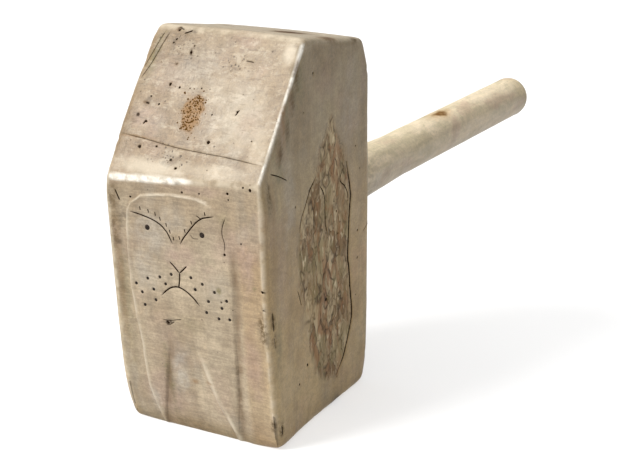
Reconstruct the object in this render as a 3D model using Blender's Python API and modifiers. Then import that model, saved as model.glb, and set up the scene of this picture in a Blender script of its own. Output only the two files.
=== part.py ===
"""Walrus-ivory gavel: a wedge-topped block head with a round handle let into its back.

The head stands on its striking face.  +Z is up, the engraved face looks along -Y, the handle
runs out along +Y, and the origin is the centre of the striking face.  Units are metres.
"""

import math

import bmesh
import bpy
from mathutils import Matrix, Vector

MM = 0.001

# Head: a block sawn across a tusk, then faced with planes, and faintly barrel-shaped.
HEAD_WIDTH = 32.8 * MM
HEAD_HEIGHT = 76.0 * MM
BASE_DEPTH = 36.0 * MM          # of the striking face that the head stands on
BACK_Y = 19.2 * MM              # the back face
BACK_DROP = 3.1 * MM            # the top falls this much from its front edge to the back face
TOP_SKEW = 1.0 * MM             # and this much from the left flank to the right one
BROW_Y = -24.5 * MM             # the brow: where the engraved face meets the forehead
BROW_HEIGHT = 51.6 * MM         # its height on the middle plane
BROW_SKEW = 0.85 * MM           # it rises by this much at the right flank, drops at the left
FACE_LEAN = 0.047               # how far the engraved face leans forward for each unit of height
FOREHEAD_DEPTH = 18.9 * MM      # from the brow back to the top front edge
CHIN_HEIGHT = 21.0 * MM         # below the chin the front curves back to the base in two facets
JAW_HEIGHT = 9.5 * MM
JAW_Y = -20.9 * MM
HEEL_HEIGHT = 6.0 * MM          # height of the worn facet along the back's foot
FOOT_HEIGHT = 8.5 * MM          # height of the worn facets along the flanks' feet
FOOT_TAPER = 0.2 * MM           # how far they draw the flanks in at the base
NAPE_DROP = 7.0 * MM            # the worn facet between the top and the back face: this far down
NAPE_DEPTH = 3.0 * MM           # and this far forward
EDGE_ROUND = 1.1 * MM
EDGE_SEGMENTS = 3

# Handle: one turned rod with a tenon in a blind socket.
HANDLE_HEIGHT = 36.6 * MM
HANDLE_LENGTH = 135.2 * MM
TENON_RADIUS = 4.5 * MM
TENON_LENGTH = 18.0 * MM
TENON_LEAD = 0.6 * MM           # chamfer on the tenon's inner end
HANDLE_GAP = 0.3 * MM           # round the tenon, past its end and under the shoulder
SWELL_RADIUS = 6.8 * MM         # at the head
WAIST_RADIUS = 5.25 * MM
WAIST_AT = 50.0 * MM
KNOB_RADIUS = 5.65 * MM         # just before the rounded end
KNOB_ROUND = 5.6 * MM           # length of the rounded end
HANDLE_SIDES = 40
SWELL_STEPS = 8
ROUND_STEPS = 6

# Inlays: dark plugs set flush in drilled sockets in the engraved face.
EYE_RADIUS = 0.55 * MM
EYE_DEPTH = 1.4 * MM
WHISKER_RADIUS = 0.33 * MM
WHISKER_DEPTH = 0.9 * MM
INLAY_GAP = 0.05 * MM
INLAY_SIDES = 16
DRILL_RUN_OUT = 1.0 * MM        # how far a drill cutter stands out of the face

# Places on the engraved face, as (across, up) in millimetres; +across is the +X side.
EYES = {"left": (-7.9, 41.8), "right": (4.0, 41.9)}
WHISKER_ROWS = {
    "left": (
        ((-3.3, 33.3), (-5.9, 32.4), (-8.7, 31.7), (-11.4, 30.3)),
        ((-4.7, 31.2), (-7.5, 29.7), (-10.2, 28.7)),
        ((-7.2, 27.6), (-9.8, 26.2)),
    ),
    "right": (
        ((1.0, 33.3), (3.4, 32.4), (5.9, 31.2), (8.4, 29.9)),
        ((1.8, 31.1), (4.5, 29.2), (7.3, 28.3)),
        ((3.9, 26.9), (6.5, 26.1), (8.8, 26.3)),
    ),
}

HALF_WIDTH = HEAD_WIDTH / 2
FACE_NORMAL = Vector((0, -1, -FACE_LEAN)).normalized()


def clear_scene():
    """Removes every object of the scene."""
    for old in list(bpy.data.objects):
        bpy.data.objects.remove(old, do_unlink=True)


def new_collection(name):
    """Returns an empty collection linked to the scene."""
    group = bpy.data.collections.new(name)
    bpy.context.scene.collection.children.link(group)
    return group


def new_material(name, color, roughness):
    """Returns a plain non-metal Principled material."""
    material = bpy.data.materials.new(name)
    material.use_nodes = True
    shader = material.node_tree.nodes["Principled BSDF"]
    shader.inputs["Base Color"].default_value = (*color, 1)
    shader.inputs["Roughness"].default_value = roughness
    shader.inputs["Metallic"].default_value = 0
    material.diffuse_color = (*color, 1)
    return material


def new_object(name, bm, group, material=None):
    """Turns a bmesh into a named object of a collection."""
    mesh = bpy.data.meshes.new(name)
    bm.to_mesh(mesh)
    bm.free()
    made = bpy.data.objects.new(name, mesh)
    group.objects.link(made)
    if material:
        mesh.materials.append(material)
    return made


def hide_cutter(cutter):
    """Marks an object as a cutter, which is not a part."""
    cutter.hide_render = True
    cutter.display_type = "WIRE"


def cut(part, cutter):
    """Subtracts a closed cutter from a part."""
    modifier = part.modifiers.new("cut_" + cutter.name, "BOOLEAN")
    modifier.object = cutter
    modifier.operation = "DIFFERENCE"
    modifier.solver = "EXACT"


def on_face(across, up):
    """The point of the engraved face at a place given in metres across and up."""
    return Vector((across, BROW_Y + FACE_LEAN * (BROW_HEIGHT - up), up))


def saw(bm, point, normal):
    """Cuts a closed convex block by a plane and closes it again; the normal side falls away."""
    everything = bm.verts[:] + bm.edges[:] + bm.faces[:]
    sawn = bmesh.ops.bisect_plane(
        bm, geom=everything, plane_co=point, plane_no=normal, clear_outer=True
    )
    rim = [item for item in sawn["geom_cut"] if isinstance(item, bmesh.types.BMEdge)]
    bmesh.ops.contextual_create(bm, geom=rim)


def saw_through(bm, first, second, third):
    """Cuts a block by the plane through three points, listed anticlockwise from outside."""
    saw(bm, first, (second - first).cross(third - first))


def saw_across(bm, low, high):
    """Cuts a block by a plane level from flank to flank, through two (y, z) points of its
    middle section, with the waste on the right of the way from low to high."""
    saw(bm, Vector((0, *low)), Vector((0, high[1] - low[1], low[0] - high[0])))


def saw_foot(bm, side):
    """Draws the foot of one flank in; side is -1 or 1."""
    normal = Vector((side * FOOT_HEIGHT, 0, -FOOT_TAPER))
    saw(bm, Vector((side * HALF_WIDTH, 0, FOOT_HEIGHT)), normal)


def make_head(group, material):
    """The block: base, flanks and back, a leaning face, a sloping forehead and top."""
    bm = bmesh.new()
    bmesh.ops.create_cube(bm, size=1)
    stock_depth = 2 * BASE_DEPTH
    bmesh.ops.scale(bm, vec=(HEAD_WIDTH, stock_depth, 2 * HEAD_HEIGHT), verts=bm.verts)
    bmesh.ops.translate(bm, vec=(0, BACK_Y - stock_depth / 2, HEAD_HEIGHT), verts=bm.verts)

    brow_left = on_face(-HALF_WIDTH, BROW_HEIGHT - BROW_SKEW)
    brow_right = on_face(HALF_WIDTH, BROW_HEIGHT + BROW_SKEW)
    ridge_left = Vector((-HALF_WIDTH, BROW_Y + FOREHEAD_DEPTH, HEAD_HEIGHT))
    nape = HEAD_HEIGHT - BACK_DROP
    back_left = Vector((-HALF_WIDTH, BACK_Y, nape + TOP_SKEW / 2))
    back_right = Vector((HALF_WIDTH, BACK_Y, nape - TOP_SKEW / 2))
    saw_through(bm, brow_left, brow_right, ridge_left)
    saw_through(bm, ridge_left, back_right, back_left)

    chin = on_face(0, CHIN_HEIGHT).yz
    jaw = Vector((JAW_Y, JAW_HEIGHT))
    saw(bm, on_face(0, BROW_HEIGHT), FACE_NORMAL)
    saw_across(bm, chin, jaw)
    saw_across(bm, jaw, (-BASE_DEPTH / 2, 0))
    saw_across(bm, (BASE_DEPTH / 2, 0), (BACK_Y, HEEL_HEIGHT))
    saw_across(bm, (BACK_Y, nape - NAPE_DROP), (BACK_Y - NAPE_DEPTH, nape))
    saw_foot(bm, -1)
    saw_foot(bm, 1)

    bmesh.ops.recalc_face_normals(bm, faces=bm.faces)
    head = new_object("head", bm, group, material)
    worn = head.modifiers.new("worn_edges", "BEVEL")
    worn.width = EDGE_ROUND
    worn.segments = EDGE_SEGMENTS
    worn.limit_method = "ANGLE"
    worn.angle_limit = math.radians(25)
    return head


def handle_profile():
    """The handle's outer side as (radius, distance from the back face), tip to tenon end."""
    points = []
    for step in range(ROUND_STEPS):
        turn = math.pi / 2 * step / ROUND_STEPS
        out = HANDLE_LENGTH - KNOB_ROUND * (1 - math.cos(turn))
        points.append((KNOB_RADIUS * math.sin(turn), out))
    points.append((KNOB_RADIUS, HANDLE_LENGTH - KNOB_ROUND))
    for step in range(SWELL_STEPS + 1):
        share = step / SWELL_STEPS
        swell = share * share * (3 - 2 * share)
        radius = WAIST_RADIUS + (SWELL_RADIUS - WAIST_RADIUS) * swell
        points.append((radius, WAIST_AT * (1 - share) + HANDLE_GAP * share))
    points.append((TENON_RADIUS, HANDLE_GAP))
    points.append((TENON_RADIUS, TENON_LEAD - TENON_LENGTH))
    points.append((TENON_RADIUS - TENON_LEAD, -TENON_LENGTH))
    points.append((0, -TENON_LENGTH))
    return points


def make_handle(group, material):
    """The handle, turned about its own axis and laid along +Y out of the back face."""
    bm = bmesh.new()
    ring = [bm.verts.new((radius, 0, out)) for radius, out in handle_profile()]
    for upper, lower in zip(ring, ring[1:]):
        bm.edges.new((upper, lower))
    handle = new_object("handle", bm, group, material)
    turn = handle.modifiers.new("turn", "SCREW")
    turn.axis = "Z"
    turn.angle = math.tau
    turn.steps = HANDLE_SIDES
    turn.render_steps = HANDLE_SIDES
    turn.use_merge_vertices = True
    turn.merge_threshold = 0.01 * MM
    handle.location = (0, BACK_Y, HANDLE_HEIGHT)
    handle.rotation_euler = (-math.pi / 2, 0, 0)
    return handle


def cut_socket(head, cutters):
    """The blind round socket for the tenon, bored into the back face."""
    bm = bmesh.new()
    reach = TENON_LENGTH + HANDLE_GAP + DRILL_RUN_OUT
    radius = TENON_RADIUS + HANDLE_GAP
    bmesh.ops.create_cone(
        bm, cap_ends=True, segments=HANDLE_SIDES, radius1=radius, radius2=radius, depth=reach
    )
    socket = new_object("handle_socket", bm, cutters)
    socket.location = (0, BACK_Y + DRILL_RUN_OUT - reach / 2, HANDLE_HEIGHT)
    socket.rotation_euler = (-math.pi / 2, 0, 0)
    hide_cutter(socket)
    cut(head, socket)


def add_plug(bm, place, radius, near, far):
    """Adds a round plug to a bmesh, square to the engraved face, between two depths."""
    middle = on_face(*place) - FACE_NORMAL * (near + far) / 2
    turn = FACE_NORMAL.to_track_quat("Z", "Y").to_matrix().to_4x4()
    bmesh.ops.create_cone(
        bm,
        cap_ends=True,
        segments=INLAY_SIDES,
        radius1=radius,
        radius2=radius,
        depth=far - near,
        matrix=Matrix.Translation(middle) @ turn,
    )


def inlay_places():
    """Yields each inlay's name, place on the face in metres, radius and depth."""
    for side, (across, up) in EYES.items():
        yield f"eye_inlay_{side}", (across * MM, up * MM), EYE_RADIUS, EYE_DEPTH
    for side, rows in WHISKER_ROWS.items():
        spots = [spot for row in rows for spot in row]
        for number, (across, up) in enumerate(spots, start=1):
            name = f"whisker_inlay_{side}_{number:02d}"
            yield name, (across * MM, up * MM), WHISKER_RADIUS, WHISKER_DEPTH


def make_inlays(head, group, cutters, material):
    """The eye and whisker plugs, and the sockets drilled for them in the head."""
    drills = bmesh.new()
    for name, place, radius, depth in inlay_places():
        plug = bmesh.new()
        add_plug(plug, place, radius, 0, depth)
        new_object(name, plug, group, material)
        add_plug(drills, place, radius + INLAY_GAP, -DRILL_RUN_OUT, depth + INLAY_GAP)
    sockets = new_object("inlay_sockets", drills, cutters)
    hide_cutter(sockets)
    cut(head, sockets)


def main():
    clear_scene()
    parts = new_collection("ivory_gavel")
    cutters = new_collection("gavel_cutters")
    head_ivory = new_material("head_ivory", (0.56, 0.44, 0.33), 0.42)
    handle_ivory = new_material("handle_ivory", (0.60, 0.49, 0.36), 0.38)
    dark_fill = new_material("dark_fill", (0.035, 0.026, 0.022), 0.6)

    head = make_head(parts, head_ivory)
    cut_socket(head, cutters)
    make_inlays(head, parts, cutters, dark_fill)
    handle = make_handle(parts, handle_ivory)
    for part in (head, handle):
        part.data.shade_smooth()
        part.data.set_sharp_from_angle(angle=math.radians(35))


main()
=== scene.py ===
"""The looks of the ivory gavel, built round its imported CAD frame.

Shapes are worked out in millimetres, in the frame's own axes, and MM turns them into metres.
Places on the front, forehead and back are (across, up), and places on a flank (along, up).
"""
import math

import bmesh
import bpy
import numpy as np
from mathutils import Matrix, Vector, noise


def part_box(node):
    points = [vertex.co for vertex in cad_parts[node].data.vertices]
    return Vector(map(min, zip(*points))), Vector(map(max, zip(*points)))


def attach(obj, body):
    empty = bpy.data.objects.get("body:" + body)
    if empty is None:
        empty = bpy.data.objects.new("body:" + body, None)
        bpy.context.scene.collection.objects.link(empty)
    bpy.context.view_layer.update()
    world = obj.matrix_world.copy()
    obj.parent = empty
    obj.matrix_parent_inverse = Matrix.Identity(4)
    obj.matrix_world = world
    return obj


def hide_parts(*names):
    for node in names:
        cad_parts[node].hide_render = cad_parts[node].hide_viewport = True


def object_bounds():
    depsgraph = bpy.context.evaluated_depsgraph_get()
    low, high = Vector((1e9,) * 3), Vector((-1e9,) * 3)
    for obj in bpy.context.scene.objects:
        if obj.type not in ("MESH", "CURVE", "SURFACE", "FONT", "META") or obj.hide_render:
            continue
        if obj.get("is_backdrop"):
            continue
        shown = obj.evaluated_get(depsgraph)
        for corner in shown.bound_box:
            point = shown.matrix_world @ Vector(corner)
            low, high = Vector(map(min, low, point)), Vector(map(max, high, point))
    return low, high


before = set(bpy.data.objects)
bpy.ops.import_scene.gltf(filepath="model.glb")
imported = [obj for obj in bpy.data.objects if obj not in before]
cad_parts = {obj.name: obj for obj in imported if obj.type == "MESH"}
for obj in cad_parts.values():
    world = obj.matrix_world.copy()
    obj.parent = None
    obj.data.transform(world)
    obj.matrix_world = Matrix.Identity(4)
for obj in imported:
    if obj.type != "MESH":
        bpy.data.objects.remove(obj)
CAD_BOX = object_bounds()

MM = 0.001

# Camera, lights and floor.
CAMERA_PLACE = (123.1, -204.5, 108.3)
CAMERA_YAW = 28.03
CAMERA_PITCH = 17.22
CAMERA_ROLL = -0.45
CAMERA_LENS = 71.9
FLOOR_SIZE = 6000.0
FLOOR_SEEN = 0.75               # how pale the floor is to the camera
FLOOR_BOUNCE = 0.56             # and to everything else, which sets how much light it throws up
WORLD_LIGHT = 0.12              # on the object, from a world that looks white to the camera

# Lamps: name, where it shines from, light on a face towards it, width in degrees, shadow.
LAMPS = (
    ("sky", (-0.20, -0.20, 0.96), 0.44, 100, True),
    ("key", (-0.45, -0.54, 0.71), 0.89, 40, False),
    ("fill", (-0.29, -0.67, 0.68), 0.17, 15, False),
    ("floor_key", (-0.45, -0.68, 0.57), 0.64, 21, True),
    ("edge_glint", (0.46, -0.50, 0.73), 0.06, 9, False),
)

# Head mesh.
GRID_STEP = 0.72                # spacing before any refining
FINEST_STEP = 0.14              # cells smaller than this are not refined again
LINE_REACH = 0.2                # the grid is refined again this close to an engraved line
THIN_REACH = 0.1                # and once more this close
OUTLINE_CELL = 0.2              # the walrus's outline needs no smaller cells
SMALLEST_FACET = 120.0          # area of the smallest CAD face that shapes the head
EDGE_SOFTNESS = 0.32            # of the worn edges between the block's sides
FACET_SOFTNESS = 0.45           # of the shallow breaks within one side
PROJECTION_STEPS = 4            # that bring the grid onto the worn block's surface
TOP_WEAR = 0.3                  # the share by which the top's edges are softer
FOOT_WEAR = 0.1                 # the same of the foot's edges
CORNER_WEAR = 0.7               # and of the foot's corners
FOREHEAD_BULGE = 0.9            # how far the forehead's left side stands out
LEFT_FLARE = 0.7                # how far the left flank stands out below the brow
RIGHT_FLARE = 0.15              # and the right one
FOOT_FLARE = 0.5                # how much further the left flank does at its foot
EDGE_FLARE = 0.65               # and the right one along its front edge
TOE_LEFT = 0.9                  # how far the front's foot stands out, at its left
TOE_RIGHT = 1.8                 # and at its right
TOE_WIDE = 0.5                  # and how far its right corner stands out sideways
TOP_RISE = 0.5                  # how far the top's front edge stands up
TOP_CROWN = 0.25                # and the top's middle
DIMPLE_DEPTH = 0.11             # round each plug
SOCKET_GAP = 0.3                # between the handle and its socket

# Dark plugs.
PLUG_SINK = 0.05                # how far a plug's face lies below the surface
PLUG_SIDES = 14
PLUG_FACE = ((0.0, 0.03), (0.45, 0.006), (0.85, -0.003))  # shares of its radius, sink there
PLUG_WALL = ((1.0, 0.15), (0.97, 0.55), (0.9, 1.0))       # shares of its radius and of its depth

# Handle mesh.
HANDLE_STEP = 0.5
HANDLE_SIDES = 96
WHITTLED_FLATS = 9
STAIN_AT = 74.7                 # along the handle from the head
HEAD_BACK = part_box("head")[1].y / MM

# Colours.
IVORY_CREAM = (0.46, 0.37, 0.255)
IVORY_TAN = (0.38, 0.29, 0.19)
IVORY_ROSE = (0.43, 0.31, 0.235)
IVORY_GREY = (0.35, 0.30, 0.23)
# Pale ivory for worn edges and rubbed spots, and painted light on the top, the walrus's crests and the
# forehead's glossy places.
IVORY_WORN_AND_LIT = (0.66, 0.57, 0.43)
# Near-white painted highlight along the brow, the forehead's right edge and the front's right edge.
PAINTED_EDGE_HIGHLIGHT = (0.98, 0.93, 0.83)
IVORY_ASH = (0.44, 0.385, 0.31)
IVORY_OLIVE = (0.24, 0.20, 0.10)
# Brown for the grooves beside the walrus and its tusks: dirt, and painted shade where they face away from
# the light.
DIRT_AND_SHADE_BROWN = (0.215, 0.14, 0.078)
# Darkens broad places, and at the front's foot it is painted shade.
DARK_TONE_AND_SHADE_TINT = (0.66, 0.61, 0.53)
FOREHEAD_TINT = (0.80, 0.755, 0.705)
BORDER_TINT = (1.0, 0.93, 0.83)
FLANK_HIGH = (0.79, 0.765, 0.65)
FLANK_LOW = (1.10, 0.99, 0.72)
# Painted shade along the foot, next to the floor.
FOOT_SHADE_TINT = (0.82, 0.78, 0.66)
HANDLE_CREAM = (0.95, 0.80, 0.575)
HANDLE_OLIVE = (0.75, 0.64, 0.43)
HANDLE_ROSE = (0.68, 0.50, 0.36)
CORE_BROWN = (0.22, 0.135, 0.062)
CORE_PALE = (0.54, 0.42, 0.255)
CORE_DARK = (0.04, 0.022, 0.009)
CORE_ROSE = (0.33, 0.165, 0.075)
CORE_LIGHT = (0.80, 0.68, 0.46)
CORE_OLIVE = (0.27, 0.215, 0.10)
STAIN_BROWN = (0.25, 0.14, 0.055)
# Near-black dirt, also used for painted shade in the tusks' grooves and on the handle next to the head.
GRIME_AND_SHADE = (0.06, 0.032, 0.007)
SCORCH = (0.085, 0.038, 0.009)
SMUDGE = (0.07, 0.05, 0.033)
SCUFF = (0.17, 0.125, 0.08)
RUST_LIGHT = (0.25, 0.125, 0.028)
RUST_DARK = (0.085, 0.036, 0.004)
# Painted shade on the handle's underside.
HANDLE_UNDERSIDE_SHADE = (0.43, 0.385, 0.325)
# Painted shade towards the handle's end.
HANDLE_END_SHADE = (0.74, 0.70, 0.60)
HANDLE_STAIN = (0.52, 0.29, 0.09)
HANDLE_HEART = (0.20, 0.09, 0.012)
INK = (0.018, 0.009, 0.004)
FILL_BLACK = (0.012, 0.009, 0.008)
FILL_BROWN = (0.05, 0.036, 0.026)
BUMP_DEPTH = 0.12               # of the materials' own relief

# Relief.
FIGURE_STEP = 0.38              # how far the ground round the walrus is cut back
THROAT_STEP = 0.34              # how far the throat between the tusks is cut back
FIGURE_OUTLINE = (
    (-8.6, -3), (-9.7, 1.6), (-10.7, 5.4), (-11.4, 8.8), (-11.5, 12.5), (-11.4, 16.8), (-11.8, 20.5),
    (-12.3, 25), (-12.7, 30), (-12.8, 36), (-12.7, 41), (-12.2, 44.5), (-11.2, 46.4), (-9.1, 47.8),
    (-5.2, 48.5), (-1.8, 48.8), (1.2, 48.8), (3.4, 48.6), (5.3, 48), (6.9, 46.9), (8.7, 45.4), (9.4, 43),
    (9.7, 38.8), (9.8, 33), (9.9, 28), (9.5, 21.3), (9.2, 15.2), (8.8, 10.7), (8.4, 5.1), (7.9, -3),
)
THROAT_OUTLINE = (
    (-8.5, -3), (-9, 1.6), (-8.2, 5.4), (-7.4, 9.4), (-6.2, 14.2), (-5.4, 18.6), (-5, 22.5), (-4.8, 27),
    (-0.2, 27), (0.6, 21.5), (1.4, 17.6), (2.2, 14.8), (3.3, 11.2), (4.4, 8.3), (6.5, 3.6), (7.5, 1),
    (8, -3),
)

# Engraved lines and cracks by side: points, half width, depth, darkness.
LINES = {
    "front": [
        (((-11.4, 44.5), (-8.5, 44), (-5.6, 43.1), (-3.7, 41.6), (-2.5, 39.4)), 0.1, 0.14, 1),
        (((6.7, 45.8), (5.1, 45.4), (4, 45), (2.5, 43.8), (0.1, 41), (-0.8, 39.6)), 0.1, 0.14, 1),
        (((3.1, 45.5), (4, 45)), 0.08, 0.1, 0.9),
        (((-3.4, 35.8), (-2.3, 34.8), (-1.5, 33.9)), 0.11, 0.15, 1),
        (((0.2, 35.4), (-0.6, 34.6), (-1.4, 33.9)), 0.11, 0.15, 1),
        (((-1.4, 33.9), (-1.5, 32.6), (-1.8, 31)), 0.12, 0.16, 1),
        (((-5.7, 28.9), (-4.4, 30.1), (-3.2, 30.8), (-1.8, 31), (-0.2, 30.4), (1.3, 29.3), (2.5, 28)),
          0.115, 0.16, 1),
        (((1.5, 41.8), (2.1, 41.1), (3.3, 41.1)), 0.08, 0.06, 0.55),
        (((9.1, 45.9), (8.4, 44), (8.3, 42.5), (8.7, 40.9), (8.6, 39.2)), 0.09, 0.08, 0.6),
        (((-14.6, 48.3), (-14.2, 47.3), (-13.8, 46.3)), 0.11, 0.1, 0.95),
        (((-6.2, 23.8), (-4.4, 23.9), (-1.6, 24.6)), 0.08, 0.08, 0.6),
        (((9.7, 24.6), (9.5, 14.1), (8.5, 4.3), (7.8, 0.5)), 0.12, 0.04, 0.28),
        (((-5.5, 17.5), (-6, 13), (-7, 8.5), (-8.2, 4), (-8.7, 0.5)), 0.17, 0.04, 0.25),
        (((-5.4, 23.3), (-4.8, 22.9), (-3.4, 23.8)), 0.12, 0.12, 0.5),
    ],
    "forehead": [
        (((-16.2, 57.6), (-9.2, 57.1), (-3.6, 56.6), (3, 56.3), (8.1, 56.1), (16.4, 55.5)),
         0.075, 0.12, 0.6),
        (((5.8, 71.2), (7.6, 71.1)), 0.08, 0.06, 0.7), (((7.6, 63.5), (7.1, 62.6)), 0.12, 0.1, 0.75),
        (((-12.3, 62.8), (-11.5, 62.7)), 0.18, 0.1, 0.6), (((-11, 60.1), (-11.4, 59.4)), 0.12, 0.1, 0.8),
        (((-6.5, 72.1), (-6.3, 71.3)), 0.15, 0.1, 0.6), (((-9.6, 75.2), (-11.1, 75.6)), 0.14, 0.1, 0.5),
        (((-15.5, 66.3), (-14.2, 69.5), (-13.3, 72.5), (-12.5, 75.1)), 0.13, 0.08, 0.5),
        (((-15.7, 68.4), (-14.8, 71.2), (-14.1, 73.6), (-13.6, 75)), 0.12, 0.08, 0.5),
        (((-9.3, 74.7), (-7.7, 75.2)), 0.15, 0.1, 0.7),
    ],
    "right": [
        (((-20.6, 53.8), (-17.6, 52.7), (-14.7, 51.3)), 0.08, 0.1, 0.85),
        (((9, 49.6), (9.9, 46.3), (10.7, 43.2), (10.8, 41.8), (10.3, 38.4), (10, 34.3), (9.7, 30),
          (10.3, 26.9), (10.9, 22.4), (11.6, 18.3), (11.3, 15.6), (9.7, 12.2), (8.1, 9.3), (6, 7.2),
          (4.9, 6.1)), 0.21, 0.3, 1),
        (((-2.4, 47.6), (-0.8, 45.6), (-0.3, 43.5), (-0.2, 40.1), (0.2, 38.4), (0.8, 36.8)),
         0.12, 0.16, 0.85),
        (((-3.7, 49.5), (-6.4, 47.3), (-8.3, 45), (-10, 42.9), (-10.9, 40.6)), 0.12, 0.16, 0.8),
        (((7.4, 48.6), (6.2, 46.5), (8.3, 44.8), (9.4, 43.1), (9.3, 41.6)), 0.11, 0.14, 0.8),
        (((-11.8, 29.6), (-11, 27.9), (-10.2, 26)), 0.1, 0.1, 0.7),
        (((16.5, 33.4), (19.4, 35)), 0.08, 0.08, 0.7),
        (((-21.9, 28.8), (-21.6, 26.6), (-21.5, 24.8)), 0.26, 0.12, 0.5),
        (((-21.4, 23.7), (-21.1, 21.5)), 0.18, 0.1, 0.42), (((-18, 5.6), (-17.5, 3.4)), 0.2, 0.12, 0.55),
    ],
    "left": [
        (((-4.9, 52.5), (-8.8, 44), (-10.6, 34), (-9.9, 24), (-6.4, 15), (-2, 9)), 0.12, 0.2, 0.95),
        (((4.2, 50), (6.1, 41), (4.8, 33)), 0.1, 0.14, 0.8), (((15, 60.5), (19.4, 58.2)), 0.08, 0.1, 0.8),
    ],
    "back": [
        (((-15.9, 57.2), (-9, 56.4), (-3, 57.1)), 0.08, 0.12, 0.8),
        (((7.5, 20.5), (8.8, 14), (8.1, 7)), 0.09, 0.12, 0.8),
    ],
}

# The brows' short hairs: foot of each tick on the front.
BROW_TICKS = (
    (-9.2, 45), (-7.4, 44.7), (-5.9, 44.3), (-4.9, 43.5), (-3.6, 42.5), (-2.9, 41.3), (-2.2, 40.1),
    (4.9, 45.7), (1.9, 43.7), (0.4, 41.9), (-0.9, 40.4),
)
TICK_LENGTH = 0.75

# Pits and dark dots by side: across or along, up, radius, depth, darkness.
PITS = {
    "front": [
        (8.6, 38.9, 0.32, 0.2, 1), (0, 49.4, 0.27, 0.14, 0.9), (3.7, 49.6, 0.22, 0.12, 0.85),
        (9.8, 50.4, 0.3, 0.14, 0.8), (9.9, 49.3, 0.22, 0.1, 0.7), (-11.4, 47.2, 0.25, 0.12, 0.9),
        (-4.9, 23.4, 0.5, 0.2, 0.6), (-4.3, 23.7, 0.36, 0.12, 0.4), (14.4, 51.6, 0.35, 0.12, 0.8),
        (13, 51.9, 0.3, 0.1, 0.7), (12.1, 41.4, 0.2, 0.1, 0.85), (8.4, 37.4, 0.22, 0.06, 0.5),
        (7.3, 29.5, 0.3, 0.06, 0.45), (9.6, 28.3, 0.2, 0.06, 0.5), (16, 32.9, 0.3, 0.2, 0.8),
        (16.1, 29.3, 0.25, 0.2, 0.6),
    ],
    "forehead": [
        (-8.5, 66.2, 0.42, 0.25, 1), (3.3, 58, 0.36, 0.2, 1), (-10.7, 55.9, 0.5, 0.1, 0.6),
        (-7.1, 56.3, 0.25, 0.1, 0.9), (-1.8, 53.4, 0.35, 0.12, 0.8), (-3.3, 54.6, 0.4, 0.1, 0.6),
        (-6.4, 71.7, 0.28, 0.12, 0.85), (-10.5, 73.6, 0.3, 0.1, 0.8), (-10.9, 73, 0.25, 0.1, 0.7),
        (-10.7, 75.2, 0.3, 0.1, 0.9), (-6.4, 65.9, 0.25, 0.1, 0.9), (-4.2, 66, 0.2, 0.1, 0.8),
        (-11.6, 63.9, 0.25, 0.1, 0.8), (-9.4, 62.8, 0.22, 0.1, 0.9), (7.3, 63.2, 0.3, 0.1, 0.8),
        (2.2, 62.3, 0.22, 0.08, 0.9), (-10.9, 59.9, 0.26, 0.1, 0.8), (12.1, 59, 0.25, 0.08, 0.6),
        (-13.2, 60.8, 0.5, 0.08, 0.5), (-6.1, 72.8, 0.22, 0.08, 0.6), (-1.8, 66.2, 0.24, 0.08, 0.9),
        (-4.7, 75.6, 0.24, 0.1, 0.9), (-8.7, 69.6, 0.3, 0.06, 0.4), (-12.2, 69.7, 0.3, 0.06, 0.35),
    ],
    "right": [
        (-4.4, 69, 0.3, 0.2, 1), (-12.4, 45.8, 0.34, 0.2, 1), (4.7, 40.7, 0.34, 0.2, 1),
        (5.3, 36, 0.3, 0.16, 0.95), (13.9, 34.3, 0.34, 0.18, 0.95), (13.9, 28.5, 0.3, 0.16, 0.95),
        (0.3, 23.8, 0.45, 0.16, 0.85), (-7.7, 13.2, 0.42, 0.22, 1), (-11, 10.5, 0.26, 0.12, 0.85),
        (3.6, 42.9, 0.3, 0.1, 0.7), (-8.1, 62.4, 0.26, 0.1, 0.6), (13.1, 51.9, 0.35, 0.08, 0.5),
        (14.8, 47, 0.4, 0.08, 0.4), (-16.6, 34.6, 0.25, 0.08, 0.4), (13.2, 20.8, 0.24, 0.1, 0.7),
    ],
    "left": [
        (-6, 62, 0.3, 0.2, 1), (9, 66, 0.26, 0.14, 0.9), (12.6, 38, 0.3, 0.16, 0.9),
        (-15.2, 30, 0.3, 0.16, 0.9), (6.5, 22.5, 0.34, 0.18, 0.95), (-1.5, 40, 0.3, 0.16, 0.9),
    ],
    "back": [
        (-10.2, 63.8, 0.34, 0.2, 1), (9.4, 50.2, 0.26, 0.14, 0.9), (-9, 22.6, 0.3, 0.16, 0.9),
        (11.6, 31, 0.3, 0.16, 0.9), (-4, 12.2, 0.26, 0.14, 0.9),
    ],
}

# The tusk's core, where it comes out on the flanks, and how its outline wanders.
CORE_OUTLINE = (
    (4.7, 5.5), (-0.5, 7), (-4, 9.6), (-6.2, 14.9), (-8.4, 20.5), (-9.9, 26.2), (-11.6, 31.4),
    (-11.9, 35.5), (-11.3, 39.5), (-10.2, 43.2), (-7.2, 46.8), (-3.6, 50.2), (-2.2, 54.5), (0.6, 57.8),
    (1.9, 61), (3, 59), (5.5, 55.5), (8, 52.2), (9.8, 47.6), (10.6, 43), (10.2, 37), (9.7, 30.5),
    (10.8, 23.4), (11.5, 18), (10.6, 13.2), (8.3, 9.5),
)
CORE_WANDER = 0.7

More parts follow.
